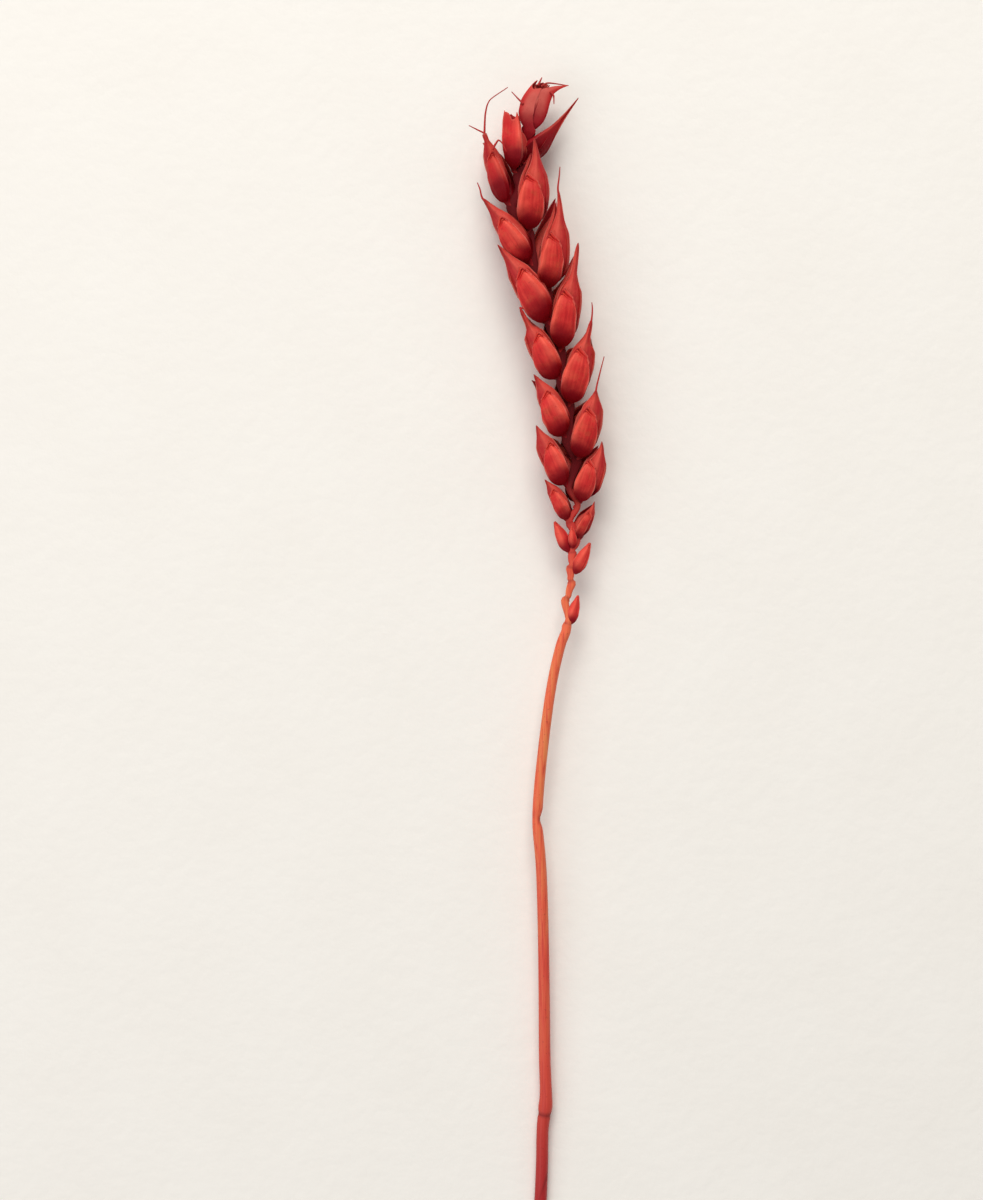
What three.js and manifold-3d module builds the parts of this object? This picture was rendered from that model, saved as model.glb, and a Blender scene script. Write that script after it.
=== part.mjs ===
// A cut ear of wheat with a length of its stalk, dried, lying on one flat side.
//
// Millimetres. X runs across the ear, Y up the ear from its collar, and Z up from the surface it lies on.
// The ear is two rows of spikelets, left and right, on a zigzag rachis that the stalk grows into.
// Each spikelet is two glumes, front and back, closed over its florets.

import {
  Box3, BufferAttribute, BufferGeometry, CatmullRomCurve3, Group, LatheGeometry, MathUtils, Mesh,
  MeshStandardMaterial, Vector2, Vector3,
} from 'three';
import { mergeVertices } from 'three/addons/utils/BufferGeometryUtils.js';
import Module from 'manifold-3d';

const wasm = await Module();
wasm.setup();

// Clearance between neighbouring pieces
const GAP = 0.3;

// Spikelets from the foot of the ear upwards. base is where each leaves the rachis, lean is its angle from
// the Y axis in degrees (positive to the right), glume and lemma are the lengths of its outer husk and of
// its longest floret to the beak's point, and turn is how far it is turned about its own length.
const SPIKELETS = [
  { name: 'right_1', base: [2.1, 13.9], lean: 22, glume: 4.6, lemma: 6.4 },
  { name: 'left_1', base: [-0.1, 16.9], lean: -28, glume: 5.4, lemma: 7.4 },
  { name: 'right_2', base: [2.1, 19.8], lean: 19, glume: 6.8, lemma: 10.3 },
  { name: 'left_2', base: [0, 22.4], lean: -27, glume: 7.6, lemma: 10.9 },
  { name: 'right_3', base: [1.8, 26.8], lean: 15, glume: 8.3, lemma: 11.3 },
  { name: 'left_3', base: [-0.3, 30.2], lean: -29, glume: 7.9, lemma: 11.2 },
  { name: 'right_4', base: [0.5, 35.5], lean: 15, glume: 9, lemma: 13.8 },
  { name: 'left_4', base: [-1.1, 39.4], lean: -30, glume: 8.3, lemma: 13.1 },
  { name: 'right_5', base: [-1, 44.3], lean: 9, glume: 9.4, lemma: 17 },
  { name: 'left_5', base: [-2.9, 48.5], lean: -34, glume: 9.6, lemma: 14.8 },
  { name: 'right_6', base: [-3.2, 53.8], lean: 6, glume: 8.9, lemma: 16 },
  { name: 'left_6', base: [-5.8, 57.9], lean: -37, glume: 8.6, lemma: 13 },
  { name: 'right_7', base: [-6.1, 63.2], lean: 2, glume: 8.8, lemma: 14.5 },
  { name: 'left_7', base: [-9.4, 67.5], lean: -21, glume: 8.4, lemma: 11.5 },
  { name: 'right_8', base: [-5, 74.9], lean: 34, glume: 7, lemma: 11.7 },
  { name: 'left_8', base: [-8.5, 72.8], lean: -1, glume: 7.2, lemma: 9.8 },
  { name: 'top', base: [-6.3, 79], lean: 17, glume: 6.2, lemma: 8.8, turn: 90 },
];

// Stunted husks on the bare foot of the ear: base with its height above the axis, lean and length
const STUNTED_HUSKS = [
  { name: 'stunted_husk_1', base: [1.2, 0.6, 0], lean: 8, length: 4.2 },
  { name: 'stunted_husk_2', base: [1.9, 8.7, 0.2], lean: 22, length: 4.8 },
  { name: 'stunted_husk_3', base: [-0.5, 12.2, 0.3], lean: -19, length: 4.6 },
  { name: 'stunted_husk_4', base: [0.9, 12.8, 1.3], lean: -3, length: 3 },
];

// Proportions of a spikelet's husks, as shares of its glume's length: width and depth, and the foot's place
// along the spikelet and out from its middle. fan is how far each leans out, in degrees. plump is 1 for a
// long beak and below 1 for a fuller outline.
const GLUME = { width: 0.56, depth: 0.38, foot: 0, height: 0.165, fan: 20, plump: 0.65 };
const OUTER_LEMMA = { width: 0.44, depth: 0.33, foot: 0.11, height: 0.07, fan: 14, plump: 1 };
const MIDDLE_LEMMA = { width: 0.38, depth: 0.3, foot: 0.26, height: 0, fan: 0, plump: 1 };
// The middle floret's beak stops short of the outer ones
const MIDDLE_LEMMA_REACH = 0.88;
// A stunted husk's proportions, as shares of its own length
const STUNTED = { width: 0.42, depth: 0.3, plump: 0.8 };
// Corners round a husk's section, and rings along it from its rounded foot to its point
const HUSK_SIDES = 8;
const HUSK_RINGS = 5;
// Rings crowd towards the foot by the first exponent, and the second moves the broadest ring towards it
const RING_CROWDING = 1.5;
const BELLY_SHIFT = 0.65;

// The stalk: its route across the surface below the collar, ending at the cut, and its radii
const STALK_ROUTE = [
  [-4.2, -94.4], [-3.9, -86.6], [-3.8, -80.4], [-3.3, -77.6], [-3.5, -70.2], [-3.6, -59], [-3.8, -47.5],
  [-4.2, -37.3], [-4.7, -32.6], [-4.7, -29.9], [-4.2, -23.5], [-2.3, -8.8], [-0.2, 0],
];
// The bare foot of the rachis, as it zigzags up from the collar to the first spikelet
const BARE_RACHIS = [[0.2, 2.2], [-0.3, 4.5], [0.7, 8.2], [0.5, 10.4], [1.3, 12.5]];
const STALK_FOOT_RADIUS = 1;
const STALK_TOP_RADIUS = 0.75;
const RACHIS_WIDTH = 1.3;
const RACHIS_THICKNESS = 0.9;
const STALK_STEPS = 34;
const RACHIS_STEPS = 26;
const STALK_SIDES = 8;
const RACHIS_SIDES = 6;
// The straw is open at the cut: how deep the hollow is followed, and its wall
const HOLLOW_DEPTH = 8;
const STRAW_WALL = 0.3;
// The joint on the straw: how far above the cut, its half length and how far it stands out
const JOINT_HEIGHT = 16.8;
const JOINT_HALF_LENGTH = 1.2;
const JOINT_SWELL = 0.16;

const HUSK_RED = new MeshStandardMaterial({ color: 0xb6382f, roughness: 0.62, metalness: 0 });
const FLORET_RED = new MeshStandardMaterial({ color: 0xc24537, roughness: 0.6, metalness: 0 });
const STRAW_CORAL = new MeshStandardMaterial({ color: 0xd9623f, roughness: 0.5, metalness: 0 });

// A closed solid from a geometry: shared corners merged, and the flat triangles at its poles dropped
function solidOf(geometry) {
  const bare = geometry.clone();
  bare.deleteAttribute('normal');
  bare.deleteAttribute('uv');
  const merged = mergeVertices(bare);
  const corners = merged.index.array;
  const kept = [];
  for (let i = 0; i < corners.length; i += 3) {
    const [a, b, c] = corners.subarray(i, i + 3);
    if (a !== b && b !== c && c !== a) {
      kept.push(a, b, c);
    }
  }
  const vertProperties = new Float32Array(merged.attributes.position.array);
  return new wasm.Manifold(new wasm.Mesh({ numProp: 3, vertProperties, triVerts: new Uint32Array(kept) }));
}

// The largest body of a solid, without the slivers that a cut can leave
function mainBody(solid) {
  const bodies = solid.decompose();
  return bodies.reduce((best, body) => (body.volume() > best.volume() ? body : best));
}

function namedMesh(name, solid, material) {
  const { vertProperties, triVerts } = solid.getMesh();
  const geometry = new BufferGeometry();
  geometry.setAttribute('position', new BufferAttribute(vertProperties, 3));
  geometry.setIndex(new BufferAttribute(triVerts, 1));
  geometry.computeVertexNormals();
  const mesh = new Mesh(geometry, material);
  mesh.name = name;
  return mesh;
}

// A husk along +Y: a teardrop turned about its length and pressed to its depth, larger all round by grow.
// Its half width follows sin(pi t^BELLY_SHIFT) raised to plump, t from 0 at the foot to 1 at the point.
function huskGeometry(shape, length, unit, grow) {
  const halfWidth = shape.width * unit / 2;
  const halfDepth = shape.depth * unit / 2;
  const profile = [];
  for (let ring = 0; ring <= HUSK_RINGS; ring += 1) {
    const t = (ring / HUSK_RINGS) ** RING_CROWDING;
    const atPole = ring === 0 || ring === HUSK_RINGS;
    const swell = Math.sin(Math.PI * t ** BELLY_SHIFT) ** shape.plump;
    const radius = atPole ? 0 : halfWidth * swell + grow;
    profile.push(new Vector2(radius, length * t + grow * (2 * t - 1)));
  }
  const geometry = new LatheGeometry(profile, HUSK_SIDES);
  geometry.scale(1, 1, (halfDepth + grow) / (halfWidth + grow));
  return geometry;
}

// One husk of a spikelet, leaned out of the spikelet's middle plane to the front (side 1) or back (side -1)
function spikeletHusk(spikelet, shape, length, side, grow) {
  const unit = spikelet.glume;
  const geometry = huskGeometry(shape, length, unit, grow);
  geometry.rotateX(side * MathUtils.degToRad(shape.fan));
  geometry.translate(0, shape.foot * unit, side * shape.height * unit);
  geometry.rotateY(MathUtils.degToRad(spikelet.turn ?? 0));
  geometry.rotateZ(-MathUtils.degToRad(spikelet.lean));
  geometry.translate(spikelet.base[0], spikelet.base[1], 0);
  return solidOf(geometry);
}

function glumeSolid(spikelet, side, grow) {
  return spikeletHusk(spikelet, GLUME, spikelet.glume, side, grow);
}

// The three florets of a spikelet, joined at the foot
function floretsSolid(spikelet, grow) {
  const reach = spikelet.lemma - OUTER_LEMMA.foot * spikelet.glume;
  const middleReach = MIDDLE_LEMMA_REACH * spikelet.lemma - MIDDLE_LEMMA.foot * spikelet.glume;
  const front = spikeletHusk(spikelet, OUTER_LEMMA, reach, 1, grow);
  const back = spikeletHusk(spikelet, OUTER_LEMMA, reach, -1, grow);
  const middle = spikeletHusk(spikelet, MIDDLE_LEMMA, middleReach, 1, grow);
  return front.add(back).add(middle);
}

// Everything a spikelet fills, with the clearance its neighbours keep
function spikeletRoom(spikelet) {
  return glumeSolid(spikelet, 1, GAP).add(glumeSolid(spikelet, -1, GAP)).add(floretsSolid(spikelet, GAP));
}

function stuntedHuskSolid(husk, grow) {
  const geometry = huskGeometry(STUNTED, husk.length, husk.length, grow);
  geometry.rotateZ(-MathUtils.degToRad(husk.lean));
  geometry.translate(...husk.base);
  return solidOf(geometry);
}

// A turned profile carried along a route: its Y, from 0 to 1, is the share of the route's length, its X
// and Z are laid across the route and upwards
function carriedAlong(profile, sides, route, thicknessShare) {
  const geometry = new LatheGeometry(profile, sides);
  const corners = geometry.attributes.position;
  const up = new Vector3(0, 0, 1);
  for (let i = 0; i < corners.count; i += 1) {
    const share = MathUtils.clamp(corners.getY(i), 0, 1);
    const along = route.getTangentAt(share);
    const across = along.clone().cross(up).normalize();
    const lift = across.clone().cross(along);
    const corner = route.getPointAt(share);
    corner.addScaledVector(across, corners.getX(i));
    corner.addScaledVector(lift, corners.getZ(i) * thicknessShare);
    corners.setXYZ(i, corner.x, corner.y, corner.z);
  }
  return solidOf(geometry);
}

// The straw: open at the cut, a little swollen at its joint, slimmer towards the collar
function strawSolid(route) {
  const length = route.getLength();
  const hollow = STALK_FOOT_RADIUS - STRAW_WALL;
  const profile = [new Vector2(0, HOLLOW_DEPTH / length), new Vector2(hollow, HOLLOW_DEPTH / length)];
  profile.push(new Vector2(hollow, 0));
  for (let step = 0; step <= STALK_STEPS; step += 1) {
    const share = step / STALK_STEPS;
    const fromJoint = (share * length - JOINT_HEIGHT) / JOINT_HALF_LENGTH;
    const swell = JOINT_SWELL * Math.exp(-fromJoint * fromJoint);
    profile.push(new Vector2(MathUtils.lerp(STALK_FOOT_RADIUS, STALK_TOP_RADIUS, share) + swell, share));
  }
  profile.push(new Vector2(0, 1));
  return carriedAlong(profile, STALK_SIDES, route, 1);
}

// The rachis: a flat bar up the middle of the ear, rounded off at the top
function rachisSolid(route, grow) {
  const radius = RACHIS_WIDTH / 2 + grow;
  const profile = [new Vector2(0, 0)];
  for (let step = 0; step <= RACHIS_STEPS; step += 1) {
    profile.push(new Vector2(radius, step / RACHIS_STEPS));
  }
  profile.push(new Vector2(0, 1));
  return carriedAlong(profile, RACHIS_SIDES, route, (RACHIS_THICKNESS / 2 + grow) / radius);
}

// The rachis passes midway between each spikelet and the next one up
function rachisRoute() {
  const points = BARE_RACHIS.map(([x, y]) => new Vector3(x, y, 0));
  for (let i = 1; i < SPIKELETS.length; i += 1) {
    const [x0, y0] = SPIKELETS[i - 1].base;
    const [x1, y1] = SPIKELETS[i].base;
    points.push(new Vector3((x0 + x1) / 2, (y0 + y1) / 2, 0));
  }
  const [collarX, collarY] = STALK_ROUTE.at(-1);
  return new CatmullRomCurve3([new Vector3(collarX, collarY - 1, 0), ...points]);
}

// The stalk slopes from the surface at its cut end up to the middle of the ear's thickness
function stalkRoute(axisHeight) {
  const [, cutY] = STALK_ROUTE[0];
  const drop = axisHeight - STALK_FOOT_RADIUS;
  const points = STALK_ROUTE.map(([x, y]) => new Vector3(x, y, -drop * y / cutY));
  return new CatmullRomCurve3(points);
}

// Spikelets are made from the top down: each gives way to the ones above it and to the rachis
function addSpikelets(ear, rachisRoom) {
  let room = rachisRoom;
  for (const spikelet of [...SPIKELETS].reverse()) {
    const florets = floretsSolid(spikelet, 0);
    const hugged = floretsSolid(spikelet, GAP);
    const front = glumeSolid(spikelet, 1, 0).subtract(hugged);
    const back = glumeSolid(spikelet, -1, 0).subtract(hugged);
    ear.add(namedMesh(`${spikelet.name}_glume_front`, mainBody(front.subtract(room)), HUSK_RED));
    ear.add(namedMesh(`${spikelet.name}_glume_back`, mainBody(back.subtract(room)), HUSK_RED));
    ear.add(namedMesh(`${spikelet.name}_florets`, mainBody(florets.subtract(room)), FLORET_RED));
    room = room.add(spikeletRoom(spikelet));
  }
  return room;
}

function addStuntedHusks(ear, roomAbove) {
  let room = roomAbove;
  for (const husk of [...STUNTED_HUSKS].reverse()) {
    ear.add(namedMesh(husk.name, mainBody(stuntedHuskSolid(husk, 0).subtract(room)), HUSK_RED));
    room = room.add(stuntedHuskSolid(husk, GAP));
  }
}

const ear = new Group();
const rachis = rachisRoute();
const room = addSpikelets(ear, rachisSolid(rachis, GAP));
addStuntedHusks(ear, room);

// The ear lies on its lowest husks, and the stalk runs down to the same surface
const axisHeight = -new Box3().setFromObject(ear).min.z;
const stalk = strawSolid(stalkRoute(axisHeight)).add(rachisSolid(rachis, 0));
ear.add(namedMesh('stalk', mainBody(stalk), STRAW_CORAL));

// The origin is under the middle of the whole piece, on the surface
const box = new Box3().setFromObject(ear);
const middle = box.getCenter(new Vector3());
ear.position.set(-middle.x, -middle.y, -box.min.z);

export default ear;
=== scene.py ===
# %% [markdown]
# # An ear of wheat, dried and dyed red
#
# This lesson builds one cut ear of wheat that lies on a pale floor with a length of its stalk. An ear is a
# zigzag axis, the rachis, with a spikelet at each bend, by turns left and right. A spikelet is a bundle of
# thin dry husks: two outer ones, the glumes, hold the florets, and each floret is a pointed husk, the lemma,
# with a flatter one, the palea, closing its inner side.
#
# The plain solids of all these pieces are loaded first, as a fixed frame. Each husk is then worked out from
# the place and size of the solid that it stands for, and short tables say where a spikelet differs.

# %% Load the plain solids
from dataclasses import dataclass, replace

import bpy
import numpy as np
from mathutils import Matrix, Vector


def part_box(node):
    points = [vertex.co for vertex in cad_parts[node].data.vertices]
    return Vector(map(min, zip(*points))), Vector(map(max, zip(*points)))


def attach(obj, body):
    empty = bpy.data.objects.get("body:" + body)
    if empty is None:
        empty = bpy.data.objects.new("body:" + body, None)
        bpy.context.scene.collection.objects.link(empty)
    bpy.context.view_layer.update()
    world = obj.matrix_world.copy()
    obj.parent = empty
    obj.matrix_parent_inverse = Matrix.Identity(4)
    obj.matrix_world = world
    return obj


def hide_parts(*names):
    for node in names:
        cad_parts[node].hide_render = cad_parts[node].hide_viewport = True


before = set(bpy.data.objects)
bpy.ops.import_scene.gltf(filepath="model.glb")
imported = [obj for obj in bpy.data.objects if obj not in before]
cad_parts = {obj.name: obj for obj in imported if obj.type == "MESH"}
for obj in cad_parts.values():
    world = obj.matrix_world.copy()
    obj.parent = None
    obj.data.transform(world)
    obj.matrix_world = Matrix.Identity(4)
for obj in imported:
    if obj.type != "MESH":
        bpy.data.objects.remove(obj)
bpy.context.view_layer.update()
MM = 0.001

# %% [markdown]
# ## Where each spikelet sits
#
# Every spikelet leans its own way, and its husks have to lean with it. The solids hold that already: the
# line from the feet of a spikelet's two glumes to their tips is its axis, the line from the back glume to
# the front one is its thickness, and the third direction runs across, away from the rachis. A table of
# angles would say the same twice, so the three directions are measured here.

# %% Measure the spikelets
SPIKELET_ENDING = "_florets"


def corners_of(node):
    """Every corner of one plain solid, as rows of x, y, z in metres."""
    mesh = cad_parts[node].data
    flat = np.empty(3 * len(mesh.vertices), np.float32)
    mesh.vertices.foreach_get("co", flat)
    return flat.reshape(-1, 3).astype(float)


def unit(vector):
    """The vector divided by its length."""
    return vector / np.linalg.norm(vector)


def long_axis(points):
    """The direction in which a cloud of points spreads most, turned to point up the ear."""
    spread = np.linalg.svd(points - points.mean(axis=0), full_matrices=False)[2][0]
    return spread * np.sign(spread[1])


def ends_along(points, direction):
    """The hindmost and the foremost of some points in a direction."""
    reach = points @ direction
    return points[reach.argmin()], points[reach.argmax()]


@dataclass
class Spikelet:
    """A spikelet's foot, its three directions at right angles, and its lengths in metres."""
    name: str
    foot: np.ndarray
    along: np.ndarray
    out: np.ndarray
    away: np.ndarray
    glume: float
    reach: float

    def place(self, local, facing):
        """Points given as away, along and out are laid on the spikelet; facing -1 is its back."""
        away, along, out = np.moveaxis(local, -1, 0)[..., None]
        return self.foot + away * self.away + along * self.along + facing * out * self.out


def read_spikelet(name):
    """The spikelet's axis runs from the mean of its glumes' feet to the mean of their tips."""
    florets = corners_of(name + SPIKELET_ENDING)
    guess = long_axis(florets)
    glumes = [corners_of(f"{name}_glume_{side}") for side in ("front", "back")]
    feet, tips = np.array([ends_along(glume, guess) for glume in glumes]).transpose(1, 0, 2)
    foot = feet.mean(axis=0)
    along = unit(tips.mean(axis=0) - foot)
    out = tips[0] - tips[1]
    out = unit(out - along * (out @ along))
    row = -1 if name.startswith("left") else 1
    away = row * np.cross(along, out)
    glume = np.linalg.norm(tips - feet, axis=1).mean()
    reach = ((florets - foot) @ along).max()
    return Spikelet(name, foot, along, out, away, glume, reach)


floret_nodes = sorted(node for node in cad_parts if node.endswith(SPIKELET_ENDING))
spikelet_names = [node.removesuffix(SPIKELET_ENDING) for node in floret_nodes]
spikelets = {name: read_spikelet(name) for name in spikelet_names}
for spikelet in spikelets.values():
    print(spikelet.name, "foot", np.round(spikelet.foot / MM, 1), "glume", round(spikelet.glume / MM, 1))

# %% [markdown]
# ## The camera
#
# The ear was seen from straight in front. Here it lies down, so the camera looks straight down on it. One
# spikelet's foot is known both in the picture and in the frame, and with the size of a pixel that fixes
# where the middle of the picture falls. The camera hangs above that point, and its lens is as long as it
# takes for the picture's height to fill the view.

# %% Aim the camera
PHOTO_WIDTH = 983
PHOTO_HEIGHT = 1200
PIXEL = 0.16 * MM
ANCHOR = "right_4"
ANCHOR_PIXEL = (570.1, 403.1)
CAMERA_HEIGHT = 400 * MM
NEAREST_SEEN = 10 * MM
SENSOR = 36


def photo_point(pixel):
    """The point level with the ear's axis at a pixel: its distance from the anchor's pixel, y upwards."""
    right = (pixel[0] - ANCHOR_PIXEL[0]) * PIXEL
    up = (ANCHOR_PIXEL[1] - pixel[1]) * PIXEL
    return spikelets[ANCHOR].foot + np.array([right, up, 0])


def add_object(name, data):
    """Puts a mesh, a lamp or a camera into the scene."""
    added = bpy.data.objects.new(name, data)
    bpy.context.scene.collection.objects.link(added)
    return added


camera = add_object("camera", bpy.data.cameras.new("camera"))
camera.data.sensor_width = SENSOR
camera.data.lens = SENSOR * CAMERA_HEIGHT / (PHOTO_HEIGHT * PIXEL)
camera.data.clip_start = NEAREST_SEEN
camera.location = photo_point((PHOTO_WIDTH / 2, PHOTO_HEIGHT / 2)) + np.array([0, 0, CAMERA_HEIGHT])
bpy.context.scene.camera = camera
bpy.context.scene.view_settings.view_transform = "Standard"
print("lens", round(camera.data.lens, 1), "mm, camera at", np.round(np.array(camera.location) / MM, 1))

# %% [markdown]
# ## The line of the stalk
#
# The stalk and the rachis are one solid, and everything on the ear is seated on it, so its line comes next.
# Cutting the solid with level planes, like slicing a loaf, gives the middle and the half width at each
# height.

# %% Slice the stalk's solid
SLICE = 0.3 * MM
# The first and the last cut lie this far inside the ends
FIRST_CUT = 0.5 * SLICE
LAST_CUT = 0.3 * SLICE
# A running mean takes in this many slices on either side
SMOOTHING = 5


def triangles_of(node):
    """The corners of each triangle of a plain solid, an array (triangles, 3, 3)."""
    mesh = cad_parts[node].data
    order = np.empty(len(mesh.loops), np.int32)
    mesh.loops.foreach_get("vertex_index", order)
    return corners_of(node)[order].reshape(-1, 3, 3)


def slice_box(triangles, height):
    """Lowest and highest corner of the cut at y = height: where each triangle's edges cross that plane."""
    ends = np.roll(triangles, -1, axis=1)
    crossing = (triangles[..., 1] - height) * (ends[..., 1] - height) < 0
    first, last = triangles[crossing], ends[crossing]
    share = (height - first[:, 1]) / (last[:, 1] - first[:, 1])
    cut = first + share[:, None] * (last - first)
    return cut.min(axis=0), cut.max(axis=0)


def evened(values):
    """A running mean down the rows, with the ends kept."""
    padded = np.pad(values, ((SMOOTHING, SMOOTHING), (0, 0)), mode="edge")
    window = np.ones(2 * SMOOTHING + 1) / (2 * SMOOTHING + 1)
    return np.stack([np.convolve(column, window, mode="valid") for column in padded.T], axis=1)


stalk_triangles = triangles_of("stalk")
cut_end, stalk_top = stalk_triangles[..., 1].min(), stalk_triangles[..., 1].max()
heights = np.arange(cut_end + FIRST_CUT, stalk_top - LAST_CUT, SLICE)
boxes = np.array([slice_box(stalk_triangles, height) for height in heights])
middles = evened(boxes.mean(axis=1))
half_sizes = evened((boxes[:, 1] - boxes[:, 0])[:, [0, 2]] / 2)


def stalk_middle(height):
    """The point in the middle of the stalk at a height."""
    return np.array([np.interp(height, heights, middles[:, axis]) for axis in range(3)])


print("slices:", len(heights), " straw radius at the cut in mm:", round(half_sizes[0, 0] / MM, 2))

# %% [markdown]
# ## From rings to a closed mesh
#
# A husk, a straw and a bristle are all the same kind of thing to a mesh: a stack of closed rings.
# Neighbouring rings are joined by four-sided faces. The end rings could be closed with a fan to a middle
# point, but on a flat husk that makes a knot of thin triangles, so each is zipped shut instead, point to
# opposite point. The sign of the enclosed volume then tells whether the faces point outwards.

# %% Skin a stack of rings
@dataclass
class Shell:
    """A closed skin: its points, its faces, and the values that its material reads at each point."""
    points: np.ndarray
    quads: np.ndarray
    triangles: np.ndarray
    marks: dict


def skin_faces(rows, around):
    """Faces over rings of an even number of points. At an end, point k is zipped to the point around - k."""
    number = np.arange(rows * around).reshape(rows, around)
    following = np.roll(number, -1, axis=1)
    walls = np.stack([number[:-1], following[:-1], following[1:], number[1:]], axis=-1)
    quads, triangles = [walls.reshape(-1, 4)], []
    half = around // 2
    k = np.arange(1, half - 1)
    for ring, order in ((number[0], -1), (number[-1], 1)):
        zipped = np.stack([ring[k], ring[k + 1], ring[around - k - 1], ring[around - k]], axis=-1)
        corners = np.array([[ring[0], ring[1], ring[-1]], [ring[half - 1], ring[half], ring[half + 1]]])
        quads.append(zipped[:, ::order])
        triangles.append(corners[:, ::order])
    return np.concatenate(quads), np.concatenate(triangles)


def closed_shell(rings, marks):
    """A shell over rings (rows, around, 3). Its faces point outwards if a . (b x c) sums to more than 0."""
    points = rings.reshape(-1, 3)
    quads, triangles = skin_faces(*rings.shape[:2])
    halves = np.concatenate([quads[:, [0, 1, 2]], quads[:, [0, 2, 3]], triangles])
    a, b, c = (points - points.mean(axis=0))[halves].transpose(1, 0, 2)
    if np.sum(a * np.cross(b, c)) < 0:
        quads, triangles = quads[:, ::-1], triangles[:, ::-1]
    marks = {name: np.broadcast_to(mark, rings.shape[:2]).ravel() for name, mark in marks.items()}
    return Shell(points, quads, triangles, marks)


# %% [markdown]
# Several shells may make one piece, as the florets of a spikelet do. They are joined by counting each
# shell's points on from the last one's. The whole arrays go into the mesh at once, which is far quicker than
# adding vertices one by one. Edges that fold sharply, such as a husk's rim, are marked so that they stay
# crisp.

# %% Turn shells into a piece
SHARP_FOLD = np.radians(55)


def add_piece(name, shells, finish, node):
    """Joins shells into a piece that rides with the ear and stands for a solid, and counts its triangles."""
    counts = [len(shell.points) for shell in shells]
    firsts = np.cumsum([0] + counts[:-1])
    points = np.concatenate([shell.points for shell in shells])
    quads = np.concatenate([shell.quads + first for shell, first in zip(shells, firsts)])
    triangles = np.concatenate([shell.triangles + first for shell, first in zip(shells, firsts)])
    mesh = bpy.data.meshes.new(name)
    mesh.vertices.add(len(points))
    mesh.vertices.foreach_set("co", points.astype(np.float32).ravel())
    corners = np.concatenate([quads.ravel(), triangles.ravel()])
    mesh.loops.add(len(corners))
    mesh.loops.foreach_set("vertex_index", corners.astype(np.int32))
    triangle_starts = quads.size + 3 * np.arange(len(triangles))
    starts = np.concatenate([4 * np.arange(len(quads)), triangle_starts])
    mesh.polygons.add(len(starts))
    mesh.polygons.foreach_set("loop_start", starts.astype(np.int32))
    mesh.update(calc_edges=True)
    mesh.validate()
    for mark in shells[0].marks:
        values = np.concatenate([shell.marks[mark] for shell in shells])
        mesh.attributes.new(mark, "FLOAT", "POINT").data.foreach_set("value", values.astype(np.float32))
    mesh.polygons.foreach_set("use_smooth", np.ones(len(starts), bool))
    mesh.set_sharp_from_angle(angle=SHARP_FOLD)
    mesh.materials.append(finish.material)
    piece = add_object(name, mesh)
    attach(piece, "root")
    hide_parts(node)
    return 2 * len(quads) + len(triangles)


triangle_total = 0

# %% [markdown]
# ## Writing materials as sums
#
# Blender's materials are graphs of nodes, and a graph in a script soon becomes hard to read. A small class
# that wraps one output socket lets plain Python operators add the Math nodes, so that a mask can be written
# as 1 - along * 2. Colours go through Mix nodes, because a Math node would turn them grey.

# %% Wrap a socket
class Value:
    """One number that varies over a surface: an output socket with arithmetic."""

    def __init__(self, finish, socket):
        self.finish = finish
        self.socket = socket

    def math(self, operation, first, second):
        return self.finish.node("ShaderNodeMath", {"operation": operation}, {0: first, 1: second})

    def __add__(self, other):
        return self.math("ADD", self, other)

    def __sub__(self, other):
        return self.math("SUBTRACT", self, other)

    def __rsub__(self, other):
        return self.math("SUBTRACT", other, self)

    def __mul__(self, other):
        return self.math("MULTIPLY", self, other)

    __radd__ = __add__
    __rmul__ = __mul__

    def between(self, low, high):
        """0 at low, 1 at high, and an S-shaped rise from one to the other; low may be the larger."""
        settings = {"interpolation_type": "SMOOTHSTEP"}
        sign = 1 if high > low else -1
        sockets = {0: self * sign, 1: low * sign, 2: high * sign}
        return self.finish.node("ShaderNodeMapRange", settings, sockets)


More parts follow.
